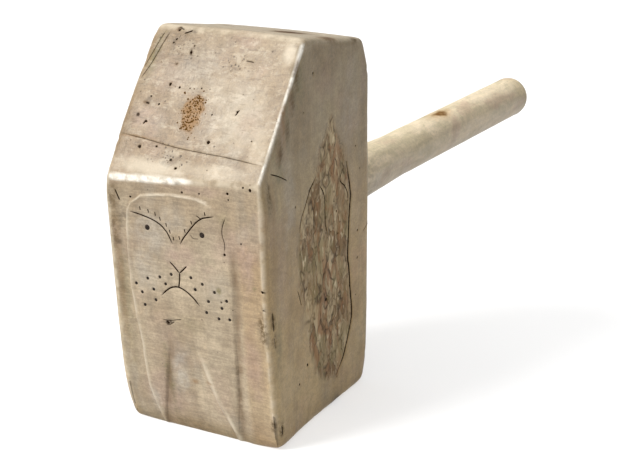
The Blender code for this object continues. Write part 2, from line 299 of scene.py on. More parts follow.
# Soft blots by layer and side: across or along, up, half sizes, strength.
PATCHES = {
    # Broad darker places: the forehead's top-left, the front's left border, high on the flanks, left side
    # and back, and the front's foot, where it is painted shade.
    "dark_tone_and_shade": {
        "forehead": [(-9.5, 72, 9, 6, 0.7), (-15, 60, 2.2, 9, 0.8), (1, 75, 10, 1.6, 0.5)],
        "front": [
            (-15.4, 43.5, 1.7, 8.5, 1), (-14.5, 48.5, 3, 2, 0.8), (0, 0.6, 17, 2.6, 0.8),
            (-15, 30, 0.9, 12, 0.5),
        ],
        "right": [(0, 72, 16, 5, 0.6), (16.6, 45, 1.6, 26, 0.5), (-21.4, 40, 1.2, 20, 0.5)],
        "left": [(0, 70, 16, 6, 0.5)],
        "back": [(0, 70, 16, 6, 0.4)],
    },
    "rust": {
        "forehead": [(-2, 62.3, 3.2, 5.2, 1)],
    },
    "speck": {
        "forehead": [
            (-4, 54.9, 5.5, 2.6, 1), (-8.6, 73.2, 4.6, 4.6, 0.5), (4, 70.5, 4.2, 3.6, 0.6),
            (-2.5, 68.5, 5, 2.5, 0.4),
        ],
        "back": [(4, 60, 6, 7, 0.5)],
        "left": [(2, 66, 5, 5, 0.5)],
    },
    "smudge": {
        "front": [
            (-13.3, 43.3, 1.6, 2.6, 0.6), (-13.9, 41, 1.2, 0.8, 0.5), (-14.9, 38, 1.1, 0.7, 0.7),
            (-14.7, 29.4, 1, 1.6, 0.4), (-4.8, 23.7, 1.5, 0.7, 1), (5.5, 42.4, 4.6, 3.6, 0.22),
            (-8.8, 50.5, 1.1, 0.4, 0.6), (-3.3, 50.8, 0.7, 0.4, 0.5), (-0.9, 51, 1, 0.5, 0.6),
            (-1.2, 43.2, 0.8, 0.8, 0.35),
        ],
        "forehead": [
            (-11.4, 56.2, 0.9, 0.5, 0.8), (-3.5, 54.5, 2.4, 1.4, 0.6), (-13.4, 60.8, 1.2, 0.8, 0.5),
            (-10.6, 73.4, 1.1, 1.3, 0.7), (-8, 75, 1.6, 0.8, 0.6), (-11.8, 63.2, 1, 1.3, 0.6),
            (-6.4, 71.8, 0.5, 0.9, 0.6),
        ],
        "top": [(13.6, 15.6, 1, 0.7, 0.9)],
        "right": [(4.3, 42.4, 1.6, 1, 0.5), (-11.4, 47, 2, 2.2, 0.15)],
        "back": [(8, 62, 2, 3, 0.3)],
        "left": [(8, 55, 2, 3, 0.3)],
    },
    "rose": {
        "front": [
            (-1, 37.3, 4.6, 3, 0.8), (13, 37.5, 1.8, 8, 0.7), (12.9, 18, 2, 9, 0.7), (5, 35, 3, 2, 0.4),
            (5, 10, 3, 6, 0.5), (2, 50.2, 9, 1.3, 0.6),
        ],
        "forehead": [(-11.5, 60.5, 4, 2.5, 0.7), (10.5, 61.5, 2.5, 3.5, 0.6), (-9, 68, 5, 5, 0.4)],
        "right": [(-17, 60, 1.4, 5, 0.8), (-18, 33, 2.6, 12, 0.35), (16.5, 66, 1.6, 6, 0.35)],
        "back": [(-3, 50, 6, 5, 0.5)],
        "left": [(-14, 40, 4, 10, 0.4)],
    },
    "ash": {
        "front": [
            (-7.5, 41, 5, 6, 0.7), (-9, 34, 3.4, 6, 0.6), (-2.2, 44.2, 3.4, 3, 0.7),
            (-3.6, 13, 2.6, 6.5, 0.9), (-10.4, 6, 1.7, 4.5, 0.8), (-8, 33, 4.5, 4, 0.4),
            (7, 32.5, 3.5, 3.5, 0.4), (12.2, 42.5, 1.5, 2.5, 0.5),
        ],
        "forehead": [(-4, 68.5, 8, 5, 0.5), (6, 62, 9, 9, 0.5)],
        "right": [(-14.6, 48, 3, 12, 0.4), (10, 60, 5, 10, 0.3)],
    },
    "olive": {
        "forehead": [(-14.4, 70.5, 1.7, 5.5, 1)],
        "front": [
            (6.9, 31.6, 0.7, 0.8, 1), (14.3, 33.2, 0.5, 0.5, 1), (-6.2, 11, 1, 8, 0.8),
            (-14.2, 26, 1.6, 16, 0.5), (8.5, 44, 2, 3, 0.4), (0.5, 24, 4, 2, 0.3),
        ],
        "right": [
            (-10.6, 69, 2.6, 6.5, 1), (-17.6, 56, 2.2, 6, 1), (-20, 22, 1.5, 10, 0.6),
            (-14.2, 62.6, 1.3, 6.5, 1),
        ],
        "left": [(-16, 24, 3, 9, 0.6)],
        "back": [(9, 40, 4, 14, 0.4)],
    },
    "scorch": {
        "top": [(6.4, 4, 3.6, 4.6, 1), (15.2, 3, 1.3, 2.6, 0.6), (-9, 8, 2, 1.4, 0.7)],
        "right": [
            (-10.6, 69.5, 0.9, 3.6, 0.6), (-12.3, 65, 0.9, 3, 0.7), (-14.2, 60.4, 0.9, 3, 0.6),
            (-16.8, 56.4, 1, 2.6, 0.7), (12.6, 73.4, 1.5, 0.9, 1), (4.9, 0.5, 2.6, 1, 0.9),
        ],
        "forehead": [(-10.9, 75.3, 0.7, 0.6, 0.8), (-12.3, 62.8, 1, 0.5, 0.7), (-8.7, 69.6, 0.6, 0.5, 0.5)],
        "back": [(-6, 74.5, 2.4, 0.8, 0.8)],
        "left": [(-9, 1, 2.8, 1.2, 0.8)],
    },
    # Dirt at the edges, darker round the handle's socket, and painted shade in the tusks' grooves.
    "grime_and_shade": {
        "front": [
            (15.6, 25.2, 0.9, 4.6, 0.9), (15.8, 6, 0.7, 1.8, 0.9), (-6.2, 11, 0.8, 8, 0.3),
            (9.4, 12, 0.5, 10, 0.4), (-15.4, 47, 1.2, 3.4, 0.6), (-15.6, 40, 0.9, 5, 0.5),
        ],
        "right": [
            (-21.6, 26.8, 0.8, 2.2, 1), (-21.3, 22.8, 0.7, 2.2, 1), (-17.8, 4.6, 0.7, 1.8, 1),
            (-21.9, 50, 0.6, 3.5, 0.8), (4.8, 0.6, 3, 1.3, 1), (12.6, 73.2, 1.1, 0.8, 1),
        ],
        "back": [(0, 36.9, 8.5, 8.5, 0.9)],
        "top": [(14.2, 15.8, 1.1, 0.9, 0.9)],
    },
    "stain": {
        "top": [(6.6, 3.8, 4.8, 5.4, 1), (14.8, 3, 2, 4, 0.7)],
        "front": [
            (-0.4, 11.6, 0.9, 0.6, 0.7), (2.9, 12, 1, 0.5, 0.7), (-15, 30, 1.1, 14, 0.35),
            (12.8, 20, 1.6, 9, 0.25),
        ],
        "forehead": [
            (-12, 57.3, 4.5, 0.35, 0.8), (3, 75.9, 13, 0.8, 0.9), (-15.2, 70.5, 1, 5, 0.4),
            (10, 61.5, 2.2, 2.6, 0.3),
        ],
        "right": [
            (0, 75.5, 13, 0.8, 0.8), (-15.6, 62.5, 1.1, 7.5, 0.8), (-17.6, 57, 1.2, 3, 0.7),
            (-13.2, 66, 0.7, 4, 0.7), (-20.6, 44, 0.8, 9, 0.35), (-10.5, 72.5, 1.5, 3, 0.5),
        ],
        "left": [(-15, 60, 2, 9, 0.5), (12, 22, 4, 10, 0.3)],
        "back": [(-8, 66, 4, 5, 0.35)],
    },
    # Worn, polished ivory with painted sheen: the glossy band above the brow and the highlights near the
    # forehead's right edge and top corner.
    "polish": {
        "forehead": [
            (8.5, 62.5, 6.5, 9, 0.35), (2, 66, 6, 5, 0.2), (-7, 53, 9.5, 2.2, 0.9), (6, 53.6, 11, 2, 0.5),
            (14.4, 73, 1.7, 3.2, 0.9), (13.8, 58, 2.6, 7, 0.4),
        ],
    },
}

SIDE_AXES = {
    "front": (0, 2), "forehead": (0, 2), "back": (0, 2), "left": (1, 2), "right": (1, 2),
    "top": (0, 1), "base": (0, 1),
}
FOREHEAD_STRETCH = 1.27         # length along the forehead for each unit of height


# ---------------------------------------------------------------- numbers

def rise(low, high, value):
    """0 below low, 1 above high and a smooth rise between."""
    share = np.clip((value - low) / (high - low), 0, 1)
    return share * share * (3 - 2 * share)


def fall(low, high, value):
    """1 below low, 0 above high and a smooth fall between."""
    return 1 - rise(low, high, value)


def cloud(points, size, seed, octaves=3):
    """Smooth noise, about -1 to 1, with features of a given size; size may be one per axis."""
    shift = np.array((17.3, 5.1, 9.7)) * seed
    spots = points / np.array(size) + shift
    return np.array([noise.fractal(spot, 1.0, 2.0, octaves) for spot in spots.tolist()])


def smooth_line(points, steps=8):
    """A curve through the given points, as a dense polyline."""
    knots = np.array(points, float)
    if len(knots) < 3:
        return knots
    padded = np.vstack((2 * knots[0] - knots[1], knots, 2 * knots[-1] - knots[-2]))
    made = []
    for before, start, end, after in zip(padded, padded[1:], padded[2:], padded[3:]):
        for share in np.arange(steps) / steps:
            bend = (2 * before - 5 * start + 4 * end - after) * share**2
            twist = (3 * start - before - 3 * end + after) * share**3
            made.append(start + 0.5 * ((end - before) * share + bend + twist))
    made.append(knots[-1])
    return np.array(made)


def line_distance(spots, line, reach):
    """Distance of each 2D spot from a polyline and the share along it, beyond reach a far one."""
    distance = np.full(len(spots), 1e3)
    along = np.zeros(len(spots))
    low, high = line.min(0) - reach, line.max(0) + reach
    near = np.flatnonzero(((spots > low) & (spots < high)).all(1))
    if not len(near):
        return distance, along
    starts, ways = line[:-1], np.diff(line, axis=0)
    squares = (ways**2).sum(1)
    lengths = np.concatenate(([0], np.cumsum(np.sqrt(squares))))
    away = spots[near, None] - starts
    share = np.clip((away * ways).sum(2) / squares, 0, 1)
    gaps = np.linalg.norm(away - share[..., None] * ways, axis=2)
    best = gaps.argmin(1)
    rows = np.arange(len(near))
    distance[near] = gaps[rows, best]
    run = lengths[best] + share[rows, best] * np.sqrt(squares)[best]
    along[near] = run / lengths[-1]
    return distance, along


def signed_distance(spots, outline):
    """Distance of each 2D spot from a closed outline, negative inside."""
    ring = np.vstack((outline, outline[:1]))
    distance, _ = line_distance(spots, ring, 1e3)
    inside = np.zeros(len(spots), bool)
    for (x1, y1), (x2, y2) in zip(ring, ring[1:]):
        if y1 == y2:
            continue
        crosses = (spots[:, 1] > min(y1, y2)) & (spots[:, 1] <= max(y1, y2))
        at = x1 + (spots[:, 1] - y1) * (x2 - x1) / (y2 - y1)
        inside ^= crosses & (spots[:, 0] < at)
    return np.where(inside, -distance, distance)


# ---------------------------------------------------------------- the head's field

def side_of(normal):
    """Name of the block's side that a face belongs to, from its normal."""
    known = (("left", 0, -1), ("right", 0, 1), ("front", 1, -1), ("back", 1, 1),
             ("base", 2, -1), ("top", 2, 1))
    for name, axis, sign in known:
        if normal[axis] * sign > 0.9:
            return name
    return "forehead"


def head_planes():
    """The CAD head's broad faces, as {side: (normals, distances from the origin)}."""
    facets = []
    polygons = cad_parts["head"].data.polygons
    for polygon in sorted(polygons, key=lambda item: -item.area):
        normal = np.array(polygon.normal)
        reach = normal @ np.array(polygon.center) / MM
        area = polygon.area / MM**2
        for facet in facets:
            if normal @ facet[0] > 0.9999 and abs(reach - facet[1]) < 0.05:
                facet[2] += area
                break
        else:
            facets.append([normal, reach, area])
    sides = {}
    for normal, reach, area in facets:
        if area > SMALLEST_FACET:
            sides.setdefault(side_of(normal), []).append((normal, reach))
    return {
        side: (np.array([n for n, _ in rows]), np.array([r for _, r in rows]))
        for side, rows in sides.items()
    }


def soft_max(values, slopes, softness):
    """Rounded maximum of rows of distances, its gradient, and each row's share in it."""
    top = values.max(0)
    shares = np.exp((values - top) / softness)
    total = shares.sum(0)
    shares /= total
    return top + softness * np.log(total), np.einsum("fn,fnd->nd", shares, slopes), shares


def head_field(points, planes, softness):
    """Signed distance from the worn block, its gradient, and {side: share of each point}."""
    values, slopes = [], []
    for normals, reaches in planes.values():
        heights = normals @ points.T - reaches[:, None]
        spread = np.broadcast_to(normals[:, None], (len(normals), *points.shape))
        value, slope, _ = soft_max(heights, spread, FACET_SOFTNESS)
        values.append(value)
        slopes.append(slope)
    value, slope, shares = soft_max(np.array(values), np.array(slopes), softness)
    return value, slope, dict(zip(planes, shares))


def front_at(planes, x, z):
    """How far forward (-Y) the front and forehead reach at a place."""
    rows = [planes[side] for side in ("front", "forehead")]
    return np.max([
        (reach - normal[0] * x - normal[2] * z) / normal[1]
        for normals, reaches in rows for normal, reach in zip(normals, reaches)
    ], axis=0)


def back_at(planes, x, z):
    """How far back (+Y) the block reaches at a place."""
    normals, reaches = planes["back"]
    return np.min([
        (reach - normal[0] * x - normal[2] * z) / normal[1]
        for normal, reach in zip(normals, reaches)
    ], axis=0)


def grid_block(planes):
    """A closed grid of quads over the block, with sharp edges."""
    low, high = (np.array(corner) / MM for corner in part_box("head"))
    size = high - low
    counts = [round(side / GRID_STEP) for side in size]
    spots, faces = {}, []

    def number(spot):
        return spots.setdefault(tuple(spot), len(spots))

    for axis in range(3):
        first, second = [other for other in range(3) if other != axis]
        for end in (0, counts[axis]):
            for i in range(counts[first]):
                for j in range(counts[second]):
                    face = []
                    for step_i, step_j in ((0, 0), (1, 0), (1, 1), (0, 1)):
                        spot = [0, 0, 0]
                        spot[axis], spot[first], spot[second] = end, i + step_i, j + step_j
                        face.append(number(spot))
                    faces.append(face)
    shares = np.array(list(spots), float) / counts
    x = low[0] + size[0] * shares[:, 0]
    normal, reach = planes["top"][0][0], planes["top"][1][0]
    ridge = front_at(planes, x, high[2])
    depth = ridge + (high[1] - ridge) * shares[:, 1]
    z = shares[:, 2] * (reach - normal[0] * x - normal[1] * depth) / normal[2]
    front, back = front_at(planes, x, z), back_at(planes, x, z)
    y = front + (back - front) * shares[:, 1]

    bm = bmesh.new()
    verts = [bm.verts.new(place) for place in np.stack((x, y, z), 1)]
    for face in faces:
        bm.faces.new([verts[corner] for corner in face])
    bmesh.ops.recalc_face_normals(bm, faces=bm.faces)
    return bm


def refine(bm, choose):
    """Splits in four each face over the finest size whose centre and normal choose picks."""
    centres = np.array([face.calc_center_median() for face in bm.faces])
    normals = np.array([face.normal for face in bm.faces])
    areas = np.array([face.calc_area() for face in bm.faces])
    picked = choose(centres, normals, areas) & (areas > FINEST_STEP**2)
    edges = {edge for face, pick in zip(bm.faces, picked) if pick for edge in face.edges}
    bmesh.ops.subdivide_edges(bm, edges=list(edges), cuts=1, use_grid_fill=True)
    bm.normal_update()


def side_spots(points, side):
    """2D places of points on a side, in true lengths."""
    spots = points[:, SIDE_AXES[side]].copy()
    if side == "forehead":
        spots[:, 1] *= FOREHEAD_STRETCH
    return spots


def side_line(points, side):
    """A line's smooth polyline in a side's true lengths."""
    line = smooth_line(points)
    if side == "forehead":
        line[:, 1] *= FOREHEAD_STRETCH
    return line


def all_lines():
    """Yields (side, points, half width, depth, darkness) of every engraved line and crack."""
    for side, lines in LINES.items():
        for points, half_width, depth, ink in lines:
            yield side, points, half_width, depth, ink
    for x, z in BROW_TICKS:
        yield "front", ((x + 0.06, z), (x - 0.06, z + TICK_LENGTH)), 0.09, 0.08, 0.85


def all_pits():
    """Yields (side, centre in true lengths, radius, depth, darkness) of every pit and dot."""
    for side, pits in PITS.items():
        for x, y, radius, depth, darkness in pits:
            yield side, side_line([(x, y)], side)[0], radius, depth, darkness


def on_side(normals, side):
    """Which faces look out of a side."""
    aim = {
        "front": (0, -1, 0), "forehead": (0, -0.79, 0.61), "back": (0, 1, 0),
        "left": (-1, 0, 0), "right": (1, 0, 0), "top": (0, 0, 1), "base": (0, 0, -1),
    }[side]
    return normals @ np.array(aim) > 0.93


def refine_head(bm):
    """Closer mesh where the head has fine work: face and forehead, core, lines and pits."""
    def broad(centres, normals, areas):
        return on_side(normals, "front") | on_side(normals, "forehead")

    def core(centres, normals, areas):
        flank = on_side(normals, "right") | on_side(normals, "left")
        return flank & (signed_distance(centres[:, 1:], np.array(CORE_OUTLINE)) < 1.2)

    def near_lines(centres, normals, areas, reach):
        picked = np.zeros(len(centres), bool)
        for side, points, _, _, _ in all_lines():
            gap, _ = line_distance(side_spots(centres, side), side_line(points, side), 2)
            picked |= on_side(normals, side) & (gap < reach + 0.35 * np.sqrt(areas))
        return picked

    def fine(centres, normals, areas):
        picked = near_lines(centres, normals, areas, LINE_REACH)
        for side, centre, radius, _, _ in all_pits():
            gap = np.linalg.norm(side_spots(centres, side) - centre, axis=1)
            picked |= on_side(normals, side) & (gap < radius + 0.2)
        for node in inlay_nodes():
            centre = np.array(inlay_centre(node))
            picked |= np.linalg.norm(centres - centre, axis=1) < 0.8
        front = on_side(normals, "front")
        for outline in (FIGURE_OUTLINE, THROAT_OUTLINE):
            gap = signed_distance(centres[:, (0, 2)], np.array(outline))
            picked |= front & (abs(gap) < 0.5) & (areas > OUTLINE_CELL**2)
        return picked

    def finest(centres, normals, areas):
        picked = near_lines(centres, normals, areas, THIN_REACH)
        for node in inlay_nodes():
            x, y, z = inlay_centre(node)
            rim = np.hypot(centres[:, 0] - x, centres[:, 2] - z) - inlay_radius(node)
            picked |= (centres[:, 1] < 0) & (abs(rim) < THIN_REACH)
        return picked

    refine(bm, broad)
    refine(bm, core)
    refine(bm, fine)
    refine(bm, fine)
    refine(bm, finest)


# ---------------------------------------------------------------- inlays in the CAD

def inlay_nodes():
    """Names of the CAD's dark plugs."""
    return sorted(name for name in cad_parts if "inlay" in name)


def inlay_centre(node):
    """The middle of a plug's outer end, in millimetres."""
    low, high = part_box(node)
    return (low.x + high.x) / 2 / MM, low.y / MM, (low.z + high.z) / 2 / MM


def inlay_radius(node):
    """A plug's radius in millimetres."""
    low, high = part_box(node)
    return (high.x - low.x) / 2 / MM


# ---------------------------------------------------------------- the head's relief and marks

def walrus_relief(points):
    """Height of the walrus's outline and tusks over the front, and where it has crests and grooves: the
    crests for pale colour and painted highlight, the grooves for dirt and painted shade.
    """
    wander = np.stack((cloud(points, 5, 2), cloud(points, 5, 3)), 1)
    spots = points[:, (0, 2)] + 0.16 * wander
    x, z = spots.T
    right = rise(3, 9, x)

    # The ground round the walrus is cut back, most along the outline.
    gap = signed_distance(spots, np.array(FIGURE_OUTLINE))
    width = 0.16 + 0.6 * right
    ground = rise(-0.5 * width, width, gap)
    ground *= 1 - (0.45 + 0.3 * right) * rise(0.9, 3.2, gap)
    ground *= 1 - 0.7 * right * rise(36, 41, z) * fall(45, 47, z)
    arch = rise(43, 47, z)
    lip_width = 0.34 - 0.18 * arch
    lip = np.exp(-((gap + 0.26 - 0.12 * arch) / lip_width)**2) * (0.75 + 0.25 * arch)
    # Painted shade, with dirt, in the groove outside the walrus's right edge, which faces away from the
    # light; below, the same in the left tusk's inner groove.
    groove_dirt_and_shade = np.exp(-((gap - 0.7) / 0.65)**2) * rise(8, 9, x) * fall(36, 42, z)

    # So is the throat between the tusks.
    gap = signed_distance(spots, np.array(THROAT_OUTLINE))
    throat = fall(-0.5, 0.2, gap) * fall(13, 23, z)
    ridge = np.exp(-((gap - 0.45) / 0.46)**2) * rise(-1, 1, x) * fall(15.5, 18.5, z)
    groove = np.exp(-((gap + 0.6) / 0.6)**2) * fall(-3, 0, x) * fall(17, 23, z)

    # The crests on the walrus's lit left and top edges and the right tusk's inner ridge; later laid pale as
    # worn ivory and painted highlight.
    crest = np.maximum(lip * fall(5, 8, x), ridge)
    height = 0.08 * crest - FIGURE_STEP * ground - THROAT_STEP * throat
    crest *= 0.35 + 0.65 * rise(-0.35, 0.25, cloud(points, (2, 2, 5), 13))
    return height, crest, np.maximum(groove_dirt_and_shade, groove)


def core_gap(points):
    """Distance of points on a flank from the core's wandering outline, negative inside."""
    wander = np.stack((cloud(points, 2.6, 4), cloud(points, 2.6, 5)), 1)
    return signed_distance(points[:, 1:] + CORE_WANDER * wander, np.array(CORE_OUTLINE))


def engrave(points, shares, height, ink):
    """Cuts the lines and pits into height, and darkens ink in them."""
    grain = cloud(points, 0.7, 6)
    for side, route, half_width, depth, darkness in all_lines():
        spots = side_spots(points, side)
        gap, along = line_distance(spots, side_line(route, side), 2)
        near = np.flatnonzero(gap < 1.5)
        taper = rise(0, 0.12, np.minimum(along, 1 - along)[near])
        width = half_width * (0.7 + 0.3 * taper) * (1 + 0.15 * grain[near])
        cut = np.exp(-(gap[near] / width)**2 / 1.6) * (0.5 + 0.5 * taper)
        cut *= rise(0.3, 0.6, shares[side][near])
        height[near] -= depth * cut
        ink[near] = np.maximum(ink[near], darkness * cut)
    for side, centre, radius, depth, darkness in all_pits():
        gap = np.linalg.norm(side_spots(points, side) - centre, axis=1)
        near = np.flatnonzero(gap < 3)
        cut = fall(0.35, 1.15, gap[near] / (radius * (1 + 0.5 * grain[near])))
        cut *= rise(0.3, 0.6, shares[side][near])
        height[near] -= depth * cut
        ink[near] = np.maximum(ink[near], darkness * cut)


def seat_inlays(points, height, ink):
    """Sinks a dimple round each plug."""
    for node in inlay_nodes():
        x, _, z = inlay_centre(node)
        gap = np.hypot(points[:, 0] - x, points[:, 2] - z)
        near = np.flatnonzero((gap < 3) & (points[:, 1] < 0))
        rim = gap[near] - inlay_radius(node)
        cut = fall(-0.1, 0.16, rim)
        height[near] -= DIMPLE_DEPTH * cut
        ink[near] = np.maximum(ink[near], fall(-0.14, 0.05, rim))


def patch_layer(points, shares, patches):
    """Soft blots on the sides, as one layer from 0 to 1."""
    layer = np.zeros(len(points))
    grain = cloud(points, 1.6, 7)
    for side, blots in patches.items():
        on = np.minimum(1, 2 * shares[side])
        for x, y, across, up, strength in blots:
            spots = (side_spots(points, side) - side_line([(x, y)], side)[0]) / (across, up)
            far = np.linalg.norm(spots, axis=1) * (1 + 0.35 * grain)
            layer = np.maximum(layer, strength * on * fall(0.2, 1.2, far))
    return layer


def block_wear(points):
    """How soft the block's edges are: more so at its top, its foot and the foot's corners."""
    up = points[:, 2]
    wear = 1 + 0.2 * cloud(points, 9, 1) + TOP_WEAR * rise(66, 76, up)
    wear += FOOT_WEAR * fall(0, 7, up)
    wear += CORNER_WEAR * fall(0, 6, up) * rise(10, 16, abs(points[:, 0]))
    return wear


def block_swell(points, shares):
    """How far the sides stand out past the CAD's flat ones, along their normals."""
    x, y, z = points.T
    below_brow = fall(46, 54, z)
    swell = below_brow * (LEFT_FLARE * shares["left"] + RIGHT_FLARE * shares["right"])
    swell += FOOT_FLARE * fall(8, 24, z) * shares["left"]
    swell += EDGE_FLARE * below_brow * forwardness(points) * shares["right"]
    swell += TOP_RISE * fall(-8, 12, y) * shares["top"]
    swell += TOP_RISE * rise(68, 75, z) * shares["forehead"]
    bulge = rise(-2, 15, -x) * np.clip(1 - ((z - 63) / 12)**2, 0, 1)
    swell += FOREHEAD_BULGE * bulge * shares["forehead"]
    return swell + TOP_CROWN * (1 - (x / 16)**2) * shares["top"]


def forwardness(points):
    """1 at the block's front, 0 from its middle back."""
    return fall(-22, -4, points[:, 1])


def foot_shift(points):
    """How far the foot's front stands out forwards, and its right corner sideways."""
    x, _, z = points.T
    shift = np.zeros_like(points)
    toe = TOE_LEFT + (TOE_RIGHT - TOE_LEFT) * rise(-16, 20, x)
    shift[:, 1] = -toe * fall(0, 22, z) * forwardness(points)
    sideways = forwardness(points) * rise(6, 16, x)
    shift[:, 0] = TOE_WIDE * sideways * fall(4, 34, z)
    return shift


def head_layers(points, shares, edge):
    """The sides, worn edges and blots, and the painted highlight along the edges and painted shade along
    the foot, as layers from 0 to 1.
    """
    x, _, z = points.T
    layers = {name: patch_layer(points, shares, patches) for name, patches in PATCHES.items()}
    layers["edge"] = rise(0.05, 0.45, edge) * rise(1, 7, z)
    # Painted highlight: the lines along the brow, the forehead's right edge and the front's right edge,
    # kept in the rim layer.
    brow = shares["front"] * shares["forehead"] * (1 - 0.6 * rise(-2, 6, x))
    ridge = shares["forehead"] * shares["right"]
    corner = shares["front"] * shares["right"] * rise(3, 8, z) * 0.35
    layers["rim"] = rise(0.5, 0.9, 4 * np.maximum(np.maximum(brow, ridge), corner))
    for side in ("front", "forehead", "top"):
        layers[side] = shares[side]
    layers["flank"] = shares["left"] + shares["right"]
    layers["low"] = fall(26, 66, z)
    # Painted shade: the foot darkens towards the floor.
    layers["foot"] = fall(0.3, 4.5, z)
    layers["border"] = shares["front"] * rise(10.5, 12, x) * fall(38, 47, z)
    return layers


def wear_head(bm, planes):
    """Shapes the grid into the worn, carved head and returns its layers for the shader."""
    points = np.array([vert.co for vert in bm.verts])
    softness = EDGE_SOFTNESS * block_wear(points)
    for _ in range(PROJECTION_STEPS):
        value, slope, shares = head_field(points, planes, softness)
        points -= slope * (value / (slope**2).sum(1))[:, None]
    _, slope, shares = head_field(points, planes, softness)
    normals = slope / np.linalg.norm(slope, axis=1)[:, None]

    edge = 1 - np.max(list(shares.values()), axis=0)
    chips = rise(0.22, 0.5, cloud(points, 1.9, 10)) * rise(0.1, 0.4, edge)
    height = 0.08 * cloud(points, (14, 14, 26), 8) + 0.018 * cloud(points, 2.4, 9) - 0.13 * chips
    height += block_swell(points, shares)
    carving, crest, groove_dirt_and_shade = walrus_relief(points)
    height += carving * rise(0.3, 0.6, shares["front"])

    flanks = shares["left"] + shares["right"]
    gap = core_gap(points)
    core = fall(-1.3, 0.5, gap) * rise(0.4, 0.7, flanks)
    height += 0.05 * core * (cloud(points, (1.2, 1.2, 3.4), 11) - 1)
    outline = np.exp(-(gap / 0.28)**2) * rise(-0.1, 0.5, cloud(points, 3.5, 12)) * flanks
    height -= 0.05 * outline
    ink = 0.42 * outline
    engrave(points, shares, height, ink)
    seat_inlays(points, height, ink)

    push = normals * height[:, None]
    push[:, 2] *= rise(0, 1.5, points[:, 2])
    placed = points + push + foot_shift(points)
    for vert, place in zip(bm.verts, placed.tolist()):
        vert.co = place
    layers = head_layers(points, shares, edge)
    layers["ink"] = ink
    layers["core"] = core
    layers["crest"] = crest * shares["front"]
    layers["groove_dirt_and_shade"] = groove_dirt_and_shade * shares["front"]
    return layers


def open_socket(bm):
    """Drills the handle's socket into the back."""
    rows, height = handle_profile()
    radius = rows[2, 1] + SOCKET_GAP
    centre = Vector((0, 0, height))
    drilled = []
    for face in bm.faces:
        spot = face.calc_center_median()
        away = math.hypot(spot.x, spot.z - centre.z)
        if spot.y > 0 and face.normal.y > 0.8 and away < radius:
            drilled.append(face)
    bmesh.ops.delete(bm, geom=drilled, context="FACES")
    rim = [edge for edge in bm.edges if edge.is_boundary]
    for vert in {vert for edge in rim for vert in edge.verts}:
        way = Vector((vert.co.x, 0, vert.co.z - centre.z))
        scale = radius / way.length
        vert.co.x, vert.co.z = way.x * scale, centre.z + way.z * scale
    bottom = rows[0, 0] - SOCKET_GAP
    for depth in (0.4, 0.7, 1.0):
        made = bmesh.ops.extrude_edge_only(bm, edges=rim)["geom"]
        rim = [item for item in made if isinstance(item, bmesh.types.BMEdge) and item.is_boundary]
        for vert in {vert for edge in rim for vert in edge.verts}:
            vert.co.y += (bottom - vert.co.y) * depth
    bmesh.ops.edgeloop_fill(bm, edges=rim)


def link(made):
    """Puts a new object in the scene and returns it."""
    bpy.context.scene.collection.objects.link(made)
    return made


def finish_mesh(name, bm, layers, material):
    """Turns a bmesh in millimetres into a smooth-shaded object in metres with its layers."""
    mesh = bpy.data.meshes.new(name)
    bm.to_mesh(mesh)
    bm.free()
    mesh.transform(Matrix.Scale(MM, 4))
    mesh.shade_smooth()
    for layer, values in layers.items():
        padded = np.zeros(len(mesh.vertices), np.float32)
        padded[:len(values)] = values
        mesh.attributes.new(layer, "FLOAT", "POINT").data.foreach_set("value", padded)
    mesh.materials.append(material)
    return link(bpy.data.objects.new(name, mesh))


def make_head():
    """The ivory block with its carving, cracks and socket."""
    planes = head_planes()
    bm = grid_block(planes)
    refine_head(bm)
    layers = wear_head(bm, planes)
    bm.normal_update()
    open_socket(bm)
    bmesh.ops.recalc_face_normals(bm, faces=bm.faces)
    head = finish_mesh("head_worn", bm, layers, head_ivory())
    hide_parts("head")
    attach(head, "root")
    return head


# ---------------------------------------------------------------- the handle

def handle_profile():
    """The CAD handle's outline, from its hidden end: rows of (along, radius), and its height."""
    low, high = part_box("handle")
    height = (low.z + high.z) / 2 / MM
    rows = set()
    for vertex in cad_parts["handle"].data.vertices:
        x, y, z = vertex.co / MM
        rows.add((round(y, 1), round(math.hypot(x, z - height), 1)))
    return np.array(sorted(rows)), height


